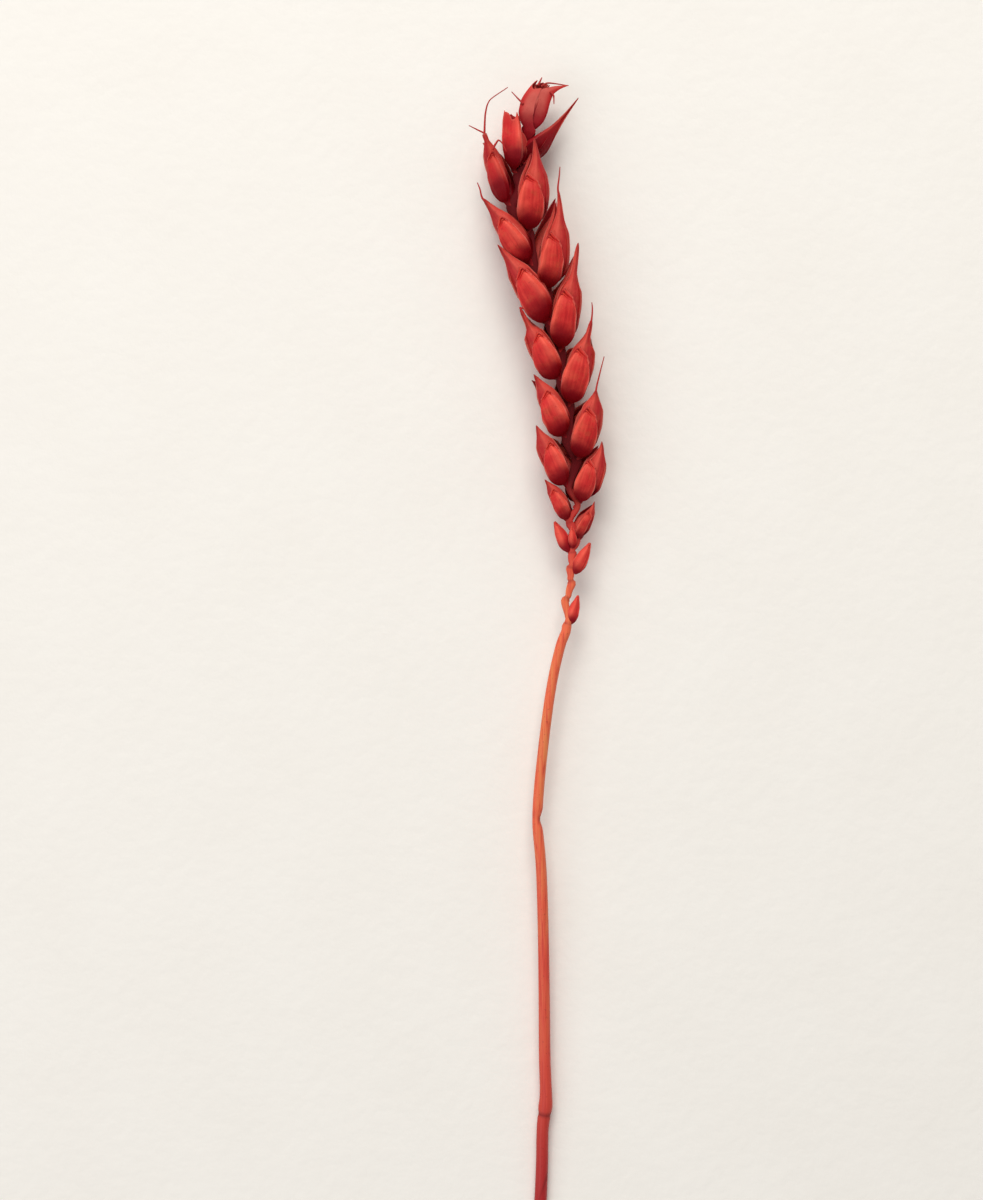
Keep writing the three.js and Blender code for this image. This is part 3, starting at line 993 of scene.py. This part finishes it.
def grow_florets(spikelet, chance):
    """Front, back and middle floret: a lemma and a palea each, the middle one's back to back."""
    name = spikelet.name
    reach = SHORT_FLORETS.get(name, spikelet.reach / spikelet.glume)
    middle = reach * MIDDLE_LENGTH
    crest = tuple((at, height * PRESSED.get(name, 1)) for at, height in LEMMA.crest)
    lemma = replace(narrowed(LEMMA, name), crest=crest)
    shifts = [own_or_row(table, name) for table in (FRONT_LEMMAS, BACK_HUSKS)]
    shells = []
    for facing, shift in zip(SIDES.values(), shifts):
        length = reach * (1 if facing > 0 else chance.uniform(*BACK_LENGTHS))
        inner = length * PALEA_LENGTH
        widths = OWN_BEAKS.get(name, beak_widths(length, 1 if facing > 0 else 0))
        husks = (
            (beaked(lemma, length, widths), length, shift),
            (beaked(narrowed(PALEA, name), inner, beak_widths(inner)), inner, shift),
            (beaked(narrowed(MIDDLE_LEMMA, name), middle, beak_widths(middle)), middle, np.mean(shifts)),
        )
        shells += [grow_husk(spikelet, form, size, facing, chance, aside) for form, size, aside in husks]
    return shells


floret_shells = {name: grow_florets(spikelet, chance) for name, spikelet in spikelets.items()}
print("florets:", 3 * len(floret_shells))

# %% [markdown]
# ## Awns
#
# On some florets the beak runs out into a bristle, the awn. Most have broken off short. A bristle is a ring
# carried along a curve, thinner and thinner. Where the picture shows one, its bends are pixels of the
# picture, and it starts inside the beak of the lemma that it grows from. The loose fibres of the last
# spikelets are bristles too, and start on the surface of a husk.

# %% Carry a ring along a path
UP = np.array([0.0, 0.0, 1.0])


def across_path(path):
    """Two directions across a path, at each point: level, and upwards at right angles to it."""
    heading = np.gradient(path, axis=0)
    heading /= np.linalg.norm(heading, axis=1, keepdims=True)
    side = np.cross(heading, UP)
    side /= np.linalg.norm(side, axis=1, keepdims=True)
    return side, np.cross(side, heading)


def tube(path, radii, around):
    """Circles of the given radii across a path: centre + radius * (cos * side + sin * lift)."""
    side, lift = across_path(path)
    angle = np.arange(around) * 2 * np.pi / around
    circle = np.cos(angle)[:, None] * side[:, None, :] + np.sin(angle)[:, None] * lift[:, None, :]
    return path[:, None, :] + np.reshape(radii, (-1, 1, 1)) * circle


def smooth_path(points, steps):
    """Points on a smooth line through a few given ones."""
    points = np.asarray(points)
    stations = np.linspace(0, 1, len(points))
    at = np.linspace(0, 1, steps)
    return np.stack([through(at, np.stack([stations, places], axis=1)) for places in points.T], axis=1)


# %% Grow the awns and the loose fibres
AWN_FOOT = 0.2 * MM
AWN_TIP = 0.07 * MM
AWN_STEPS = 40
AWN_AROUND = 10
# An awn starts inside the beak, this far along the lemma
AWN_START = 0.9
# What the husks' finish reads on a bristle or a stub, and what it takes a bristle's two ends for
AWN_ALONG = (0.7, 1)
BRISTLE_MARKS = {"across": 0.0, "keel": 0.3, "rim": 0.0, "inside": 0.0, "dye": 0.8}
# Bends of the awns in the picture, from the tip of the lemma outwards
AWN_PIXELS = {
    "left_7": [[(485, 122), (486.6, 111), (489.3, 104.5), (507.7, 91)], [(477, 133), (469, 129)]],
    "left_6": [[(480, 192.5), (477.4, 186)]],
    "left_4": [[(523, 311), (520.5, 305.6)]],
    "right_3": [[(599, 375), (603.3, 358.4)]],
    "right_4": [[(591.5, 312), (591, 305)]],
    "right_6": [[(558.6, 180), (559.4, 170.6)]],
}
# Loose fibres: a pixel on a husk's surface and the bends from there on
FIBRE_PIXELS = {
    "top": [[(523, 105.5), (519, 101.5), (511.5, 93.6)], [(541, 86), (549, 82.4), (568.5, 85)],
            [(550, 93), (553.6, 98), (553.8, 105.6)], [(538, 86), (540.5, 81), (541.9, 77.9)]],
    "left_7": [[(492.5, 154), (495.8, 148), (498.5, 144.8), (502, 147.5), (506, 156)]],
}
# How near a fibre's first pixel the surface is looked for, and how much farther where nothing is so near
FIBRE_NEAR = 0.5 * MM
FIBRE_MARGIN = 0.05 * MM


def awn(starts, pixels):
    """A bristle from the given points on through pixels of the picture, at the last point's height."""
    bends = [photo_point(pixel) for pixel in pixels]
    bends = [np.array([x, y, starts[-1][2]]) for x, y, z in bends]
    path = smooth_path([*starts, *bends], AWN_STEPS)
    rings = tube(path, np.linspace(AWN_FOOT, AWN_TIP, AWN_STEPS), AWN_AROUND)
    along = np.linspace(*AWN_ALONG, AWN_STEPS)[:, None]
    return closed_shell(rings, BRISTLE_MARKS | {"along": along})


for name, awns in AWN_PIXELS.items():
    front_lemma = floret_shells[name][0]
    from_ring = np.abs(front_lemma.marks["along"][:, None] - (AWN_START, 1))
    starts = [front_lemma.points[apart == apart.min()].mean(axis=0) for apart in from_ring.T]
    floret_shells[name] += [awn(starts, pixels) for pixels in awns]


def surface_point(name, pixel):
    """The highest point of a spikelet's husks near a pixel of the picture."""
    here = photo_point(pixel)
    husks = [glume_shells[f"{name}_glume_{side}"] for side in SIDES] + floret_shells[name]
    points = np.concatenate([husk.points for husk in husks])
    distance = np.linalg.norm(points[:, :2] - here[:2], axis=1)
    near = points[distance < max(FIBRE_NEAR, distance.min() + FIBRE_MARGIN)]
    return np.array([here[0], here[1], near[:, 2].max()])


for name, fibres in FIBRE_PIXELS.items():
    floret_shells[name] += [awn([surface_point(name, pixels[0])], pixels[1:]) for pixels in fibres]
print("spikelets with awns:", len(AWN_PIXELS), " with loose fibres:", len(FIBRE_PIXELS))

# %% [markdown]
# Each spikelet sits on the rachis by a short thick stub. It is hidden from most sides, but without it the
# spikelets would float, so it is a tube too, from the middle of the rachis into the spikelet's foot.

# %% Seat the spikelets
SEAT_STEPS = 12
SEAT_AROUND = 16
# In glume lengths: how far below the foot a stub starts, how far into the spikelet it goes, and its radius
SEAT_DROP = 0.16
SEAT_DEPTH = 0.14
SEAT_RADIUS = 0.1
# The share of that radius at the rachis, and what the finish takes the stub's two ends for
SEAT_START = 0.3
SEAT_ALONG = (0.6, 0.05)


def seat(spikelet):
    """A stub from the rachis, a little below the foot, to a short way up inside the spikelet."""
    start = stalk_middle(spikelet.foot[1] - SEAT_DROP * spikelet.glume)
    end = spikelet.foot + SEAT_DEPTH * spikelet.glume * spikelet.along
    path = smooth_path([start, spikelet.foot, end], SEAT_STEPS)
    radii = np.linspace(SEAT_START, 1, SEAT_STEPS) * SEAT_RADIUS * spikelet.glume
    along = np.linspace(*SEAT_ALONG, SEAT_STEPS)[:, None]
    return closed_shell(tube(path, radii, SEAT_AROUND), BRISTLE_MARKS | {"along": along})


for name, shells in floret_shells.items():
    shells.append(seat(spikelets[name]))
    node = name + SPIKELET_ENDING
    triangle_total += add_piece(node + ".husks", shells, floret_finish, node)
print("spikelets seated:", len(floret_shells), " triangles so far:", triangle_total)

# %% [markdown]
# ## Stunted husks
#
# At the foot of the ear a few spikelets never filled. Each is a small bud of two husks, face to face, so
# the glume's form is used again, flatter, on the front and on the back of the solid's own axis.

# %% Grow the stunted husks
BUD = replace(
    GLUME,
    half_width=0.2,
    outline=((0, 0.3), (0.15, 0.8), (0.35, 1), (0.6, 0.85), (0.85, 0.4), (1, 0.12)),
    crest=((0, 0.04), (0.2, 0.11), (0.45, 0.15), (0.75, 0.11), (1, 0.03)),
    depth=0.14,
    keel_at=(-0.2, 0),
    shoulder=0,
    tooth=0,
    lip=0,
    rows=36,
    columns=21,
)
# A bud's foot is moved this share of the way to the stalk's middle, and this far down
BUD_HUG = 0.6
BUD_DROP = 0.5 * MM


def read_bud(name):
    """A bud's axis runs from a foot between the solid's foot and the stalk's middle to the solid's tip."""
    corners = corners_of(name)
    foot, tip = ends_along(corners, long_axis(corners))
    foot = BUD_HUG * stalk_middle(foot[1]) + (1 - BUD_HUG) * foot - np.array([0, BUD_DROP, 0])
    along = unit(tip - foot)
    out = unit(UP - along * (UP @ along))
    length = np.linalg.norm(tip - foot)
    return Spikelet(name, foot, along, out, np.cross(along, out), length, length)


buds = [read_bud(name) for name in sorted(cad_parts) if name.startswith("stunted")]
for bud in buds:
    husks = [grow_husk(bud, BUD, 1.0, facing, chance) for facing in SIDES.values()]
    triangle_total += add_piece(bud.name + ".husk", husks, glume_finish, bud.name)
print("stunted husks:", len(buds))

# %% [markdown]
# ## Straw
#
# The stalk is a straw: smooth, satin, orange near the ear and redder lower down, where the dye stood deeper,
# with fine streaks along its length. The streaks come from noise that is stretched along the ear, which the
# stalk follows closely enough. Among the spikelets it turns red and then maroon like the husks' feet, and
# the maroon is painted shade where the rachis lies deep between the rows. Its creases, folds and the hollow
# of its cut end are painted darker as shade.

# %% Mix the straw finish
STRAW_MARKS = ("height", "crease", "shade", "in_ear")
# Stretch of the streaks and of the clouds, and scales of the clouds and specks
STRAW_STREAK = (3200, 90, 3200)
STRAW_CLOUD = (1, 0.35, 1)
STRAW_CLOUDS = 300
STRAW_SPECKS = 2400
STRAW_ROUGHNESS = 0.34
STRAW_RELIEF = 0.07 * MM
STRAW_RELIEF_STRENGTH = 0.55


def straw_finish():
    """Coral straw with ochre streaks near the ear, redder towards the cut, with painted shade at the joint,
    in the folds and creases, in the cut end's hollow and deep in the ear.
    """
    finish = Finish("straw_coral", {"IOR": 1.5, "Specular IOR Level": 0.35})
    height, crease, shade, in_ear = (finish.mark(mark) for mark in STRAW_MARKS)
    streak = finish.noise(finish.place(STRAW_STREAK), scale=1, detail=3, roughness=0.6)
    cloud = finish.noise(finish.place(STRAW_CLOUD), STRAW_CLOUDS)
    speck = finish.noise(finish.place(), STRAW_SPECKS)
    ochre = (streak * 0.7 + cloud * 0.5).between(0.5, 0.8) * height.between(0.1, 0.7)
    layers = (
        (height.between(0.75, 0.35), 1, paint(216, 76, 60)),
        (height.between(0.3, 0), 1, paint(172, 34, 38)),
        (ochre, 0.75, paint(226, 138, 82)),
        (streak.between(0.5, 0.3), 0.55, paint(182, 48, 42)),
        (speck.between(0.64, 0.74), 0.4, paint(130, 36, 32)),
        (in_ear.between(0.15, 0.55), 0.85, paint(204, 44, 47)),
        # Maroon deep in the ear: painted shade between the rows
        (in_ear.between(0.65, 0.92), 1, paint(104, 0, 12)),
        # Painted shade in the creases at the joint, the collar, the kink, the wedges and the sheath's edge
        (crease, 0.75, paint(120, 20, 24)),
        (shade, 1, paint(96, 12, 16)),
    )
    finish.feed("Base Color", finish.layered(paint(236, 104, 70), layers))
    finish.feed("Roughness", STRAW_ROUGHNESS + streak * 0.22 + crease * 0.2 + in_ear.between(0.3, 1) * 0.4)
    finish.bump(streak * 0.8 + speck * 0.2, STRAW_RELIEF, STRAW_RELIEF_STRENGTH)
    return finish


straw = straw_finish()
print("finish:", straw.material.name)

# %% [markdown]
# ## The stalk and the rachis
#
# The new skin is rings on the middles of the slices, far finer than the solid's: it starts inside the hollow
# of the cut end, turns round its lip, runs up the straw with its joint and its kink, and goes on as the flat
# rachis with a ledge under each spikelet. The details sit at known heights. The collar, where straw turns to
# rachis, is just under the lowest stunted husk. The joint, a ring where a leaf grew, is near the cut, and
# the kink, where the straw was bent and pinched flat, is a third of the way down. Each is a bell curve on
# the height, which pinches or swells the ring there.

# %% Work out the stalk's widths
COLLAR_BELOW_HUSK = 0.6 * MM
JOINT_ABOVE_CUT = 16.8 * MM
GROOVE_BELOW_JOINT = 1.3 * MM
KINK_BELOW_COLLAR = 31.2 * MM
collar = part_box("stunted_husk_1")[0].y - COLLAR_BELOW_HUSK
joint = cut_end + JOINT_ABOVE_CUT
joint_groove = joint - GROOVE_BELOW_JOINT
kink = collar - KINK_BELOW_COLLAR
# Pinches, below 0, and swellings of the rings: share, place and spread
WIDTH_CHANGES = ((-0.25, collar + 1.0 * MM, 0.6 * MM), (-0.1, joint_groove, 0.4 * MM),
                 (0.06, joint, 0.8 * MM))
THICKNESS_CHANGES = ((-0.25, kink, 1.2 * MM), (0.1, collar, 0.5 * MM))
# The ledge under a spikelet: how far it stands out, and how it fades downwards and upwards
LEDGE = 0.12 * MM
LEDGE_BELOW = 2.2 * MM
LEDGE_ABOVE = 0.55 * MM
# Above the bare stretch the rachis widens, over as long a stretch again
BARE_RACHIS = 13 * MM
EAR_WIDENING = 0.2 * MM
# Between the lowest spikelets the rachis is narrowed again, about to its solid's width: the picture's row,
# how far up and down from there, and by what share
WAIST_PIXEL = 500
WAIST_LENGTH = 4.5 * MM
WAIST = 0.4
# The bare rachis is a chain of wedges, wider at the top: the picture's rows where they meet, upwards
RACHIS_NODE_PIXELS = (620, 598, 581, 567, 552, 537, 523)
WEDGE = 0.45
# The rachis ends inside the top spikelet, tapered over this length to a share of its width
END_TAPER = 5 * MM
END_SHARE = 0.25


def bells(at, *parts):
    """The sum of some bells, each given by its height, its middle and its spread."""
    return sum(height * bell(at, middle, spread) for height, middle, spread in parts)


def row_height(row):
    """The place along the ear of a row of the picture."""
    return photo_point((0, row))[1]


wide, thick = half_sizes.T
wide = wide * (1 + bells(heights, *WIDTH_CHANGES))
thick = thick * (1 + bells(heights, *THICKNESS_CHANGES))
for spikelet in spikelets.values():
    below = spikelet.foot[1] - heights
    wide = wide + LEDGE * np.where(below > 0, np.exp(-below / LEDGE_BELOW), np.exp(below / LEDGE_ABOVE))
wide = wide + EAR_WIDENING * ramp(heights, collar + BARE_RACHIS, collar + 2 * BARE_RACHIS)
wide = wide * (1 - WAIST * bell(heights, row_height(WAIST_PIXEL), WAIST_LENGTH))

node_heights = np.array([row_height(row) for row in RACHIS_NODE_PIXELS])
last_node = len(node_heights) - 1
segment = np.searchsorted(node_heights, heights)
lower = node_heights[np.clip(segment - 1, 0, last_node)]
upper = node_heights[np.clip(segment, 0, last_node)]
bare = upper > lower
wedge = np.where(bare, (heights - lower) / np.where(bare, upper - lower, 1) - 0.5, 0)
taper = np.clip((stalk_top - heights) / END_TAPER, END_SHARE, 1)
wide = wide * (1 + WEDGE * wedge) * taper
thick = thick * taper
print("widest in mm:", round(2 * wide.max() / MM, 2), " wedges:", last_node)

# %% Bend the stalk's line
# At the collar the line steps to the right and, just below, a little to the left
COLLAR_STEPS = ((0.25 * MM, collar + 1.5 * MM, 1.2 * MM), (-0.175 * MM, collar, 1.2 * MM))
# The wedges stand by turns to the right and to the left of the line, evened over a few slices
WEDGE_STEP = 0.3 * MM
STEP_SLICES = 3
# The rachis bends towards each spikelet and bud: what share of the way, how far below the foot, and how long
NODE_PULL = 0.7
NODE_DROP = 0.6 * MM
NODE_LENGTH = 1.5 * MM

line = middles.copy()
line[:, 0] += bells(heights, *COLLAR_STEPS)
turns = np.where(bare, 1 - 2 * (segment % 2), 0)
line[:, 0] += WEDGE_STEP * np.convolve(turns, np.ones(STEP_SLICES) / STEP_SLICES, mode="same")
for seated in [*spikelets.values(), *buds]:
    pull = NODE_PULL * bell(heights, seated.foot[1] - NODE_DROP, NODE_LENGTH)
    line[:, 0] += pull * (seated.foot[0] - stalk_middle(seated.foot[1])[0])
side, lift = across_path(line)
print("line bent at", len(spikelets) + len(buds), "feet")

# %% Shape the stalk's rings
STALK_AROUND = 40
# Ribs round the stalk: height, number and start
RIBS = ((0.012, 14, 0), (0.01, 9, 1))
# The rachis is flatter-sided than the straw: its rings' sides follow the cosine to the power 1 / (1 + this)
FLAT_SIDES = 0.35
COLLAR_BLEND = 0.5 * MM
# The kink is pinched on its right, and the collar's lip stands out on its left, beside the rachis
KINK_NOTCH = (-0.5, kink, 1.1 * MM)
COLLAR_LIP = (0.22, collar - 0.3 * MM, 0.6 * MM)
# Below the joint the edge of a leaf sheath crosses the straw's upper side: two pixels of the picture, the
# share by which the straw is lower beyond it, and how sharply the upper side begins
SHEATH_PIXELS = ((554, 1162), (545, 1188))
SHEATH_STEP = 0.07
UPPER_SIDE = 3

angle = np.arange(STALK_AROUND) * 2 * np.pi / STALK_AROUND
ribs = 1 + sum(height * np.cos(number * angle + start) for height, number, start in RIBS)
flatness = 1 + FLAT_SIDES * ramp(heights, collar - COLLAR_BLEND, collar + COLLAR_BLEND)[:, None]
ring_x = wide[:, None] * np.sign(np.cos(angle)) * np.abs(np.cos(angle)) ** (1 / flatness) * ribs
notch = 1 + bells(heights, KINK_NOTCH)
lip = 1 + bells(heights, COLLAR_LIP)
ring_x = ring_x * np.where(np.cos(angle) > 0, notch[:, None], lip[:, None])

sheath_top, sheath_foot = (photo_point(pixel) for pixel in SHEATH_PIXELS)
sheath_run, sheath_rise = (sheath_top - sheath_foot)[:2]
sheath_edge = sheath_foot[0] + sheath_run / sheath_rise * (heights - sheath_foot[1])
past_sheath = line[:, :1] + ring_x - sheath_edge[:, None]
near_sheath = bell(heights, sheath_foot[1] + sheath_rise / 2, sheath_rise) * (heights < joint)
on_sheath = near_sheath[:, None] * np.clip(UPPER_SIDE * np.sin(angle), 0, 1)
ring_z = thick[:, None] * np.sin(angle) * ribs
ring_z = ring_z * (1 - SHEATH_STEP * on_sheath * (past_sheath > 0))
outside = line[:, None] + ring_x[..., None] * side[:, None] + ring_z[..., None] * lift[:, None]
print("rings:", len(outside), "of", STALK_AROUND, "points")

# %% Hollow out the cut end and skin the stalk
HOLLOW_WALL = 0.3 * MM
HOLLOW_DEPTH = 8 * MM
HOLLOW_SHADE = 0.8
# Painted shade in creases: strength, place and spread
CREASES = ((1, joint_groove, 0.35 * MM), (0.5, collar + 0.3 * MM, 0.3 * MM))
KINK_CREASE = (0.9, kink, 0.8 * MM)
NODE_CREASE = 0.7
CREASE_SPREAD = 0.22 * MM

hollow_rows = int(HOLLOW_DEPTH / SLICE)
hollow_share = (1 - HOLLOW_WALL / wide[:hollow_rows])[:, None, None]
inside = line[:hollow_rows, None] + (outside[:hollow_rows] - line[:hollow_rows, None]) * hollow_share
rings = np.concatenate([inside[::-1], outside])
levels = np.concatenate([heights[:hollow_rows][::-1], heights])
shade = np.concatenate([np.full(hollow_rows, HOLLOW_SHADE), np.zeros(len(heights))])
node_creases = [(NODE_CREASE, node_height, CREASE_SPREAD) for node_height in node_heights[1:]]
right_side = np.clip(np.cos(angle), 0, 1)
# Painted shade along the creases, and on the right of the kink
crease = bells(levels, *CREASES, *node_creases)[:, None] + bells(levels, KINK_CREASE)[:, None] * right_side
crease[hollow_rows:] += on_sheath * bell(past_sheath, 0, CREASE_SPREAD)
height_share = (levels - cut_end) / (collar - cut_end)
in_ear = ramp(levels, collar, collar + 2 * BARE_RACHIS)
stalk_marks = {"height": height_share[:, None], "crease": crease, "shade": shade[:, None],
               "in_ear": in_ear[:, None]}
stalk_shell = closed_shell(rings, stalk_marks)
triangle_total += add_piece("stalk.straw", [stalk_shell], straw, "stalk")
print("stalk rings:", len(rings), " triangles in all:", triangle_total)

# %% [markdown]
# ## Floor and light
#
# The ear lies on a plain pale floor, a large flat sheet with a faint tooth, like painted plaster. Most of
# the light is soft and comes from high up beyond the ear's tip, so the husks shade off towards their feet
# and the groove between the rows stays dark. A weaker light from the left and a pale sky keep the shadows
# open.

# %% Lay the floor
FLOOR_SIZE = 6.0
FLOOR_CELLS = 8
FLOOR_MOTTLE = 60
FLOOR_TOOTH = 420
FLOOR_RELIEF = 0.25 * MM
FLOOR_RELIEF_STRENGTH = 0.4

floor_finish = Finish("floor_plaster", {"IOR": 1.4})
mottle = floor_finish.noise(floor_finish.place(), FLOOR_MOTTLE, detail=4)
tooth = floor_finish.noise(floor_finish.place(), FLOOR_TOOTH, detail=3)
floor_finish.feed("Base Color", floor_finish.mix(mottle, paint(245, 242, 237), paint(249, 247, 243)))
floor_finish.feed("Roughness", 0.8 + tooth * 0.15)
floor_finish.bump(tooth, FLOOR_RELIEF, FLOOR_RELIEF_STRENGTH)

steps = np.linspace(-FLOOR_SIZE / 2, FLOOR_SIZE / 2, FLOOR_CELLS + 1)
floor_x, floor_y = np.meshgrid(steps, steps)
floor_points = np.stack([floor_x, floor_y, 0 * floor_x], axis=-1).reshape(-1, 3)
number = np.arange(len(floor_points)).reshape(FLOOR_CELLS + 1, FLOOR_CELLS + 1)
floor_quads = np.stack([number[:-1, :-1], number[:-1, 1:], number[1:, 1:], number[1:, :-1]], axis=-1)
floor_mesh = bpy.data.meshes.new("floor")
floor_mesh.from_pydata(floor_points.tolist(), [], floor_quads.reshape(-1, 4).tolist())
floor_mesh.materials.append(floor_finish.material)
floor = add_object("floor", floor_mesh)
print("floor:", FLOOR_SIZE, "m square")

# %% Hang the lights
SKY_COLOUR = (1.0, 0.98, 0.95, 1.0)
SKY_STRENGTH = 0.32


def soft_light(name, place, size, power, colour):
    """A square area light that faces the ear's middle."""
    lamp = bpy.data.lights.new(name, "AREA")
    lamp.size = size
    lamp.energy = power
    lamp.color = colour
    place = np.array(place)
    away = unit(place)
    right = unit(np.cross((0, 1, 0), away))
    up = np.cross(away, right)
    turn = np.eye(4)
    turn[:3, :3] = np.stack([right, up, away], axis=1)
    turn[:3, 3] = place
    add_object(name, lamp).matrix_world = turn.T


soft_light("key_light", place=(-0.04, 0.84, 0.78), size=0.7, power=10.2, colour=(1.0, 0.965, 0.905))
soft_light("fill_light", place=(-0.55, -0.25, 0.7), size=0.9, power=2.6, colour=(0.98, 0.98, 1.0))
sky = bpy.data.worlds.new("sky")
sky.use_nodes = True
background = sky.node_tree.nodes["Background"]
background.inputs["Color"].default_value = SKY_COLOUR
background.inputs["Strength"].default_value = SKY_STRENGTH
bpy.context.scene.world = sky
print("lights: key, fill and sky")
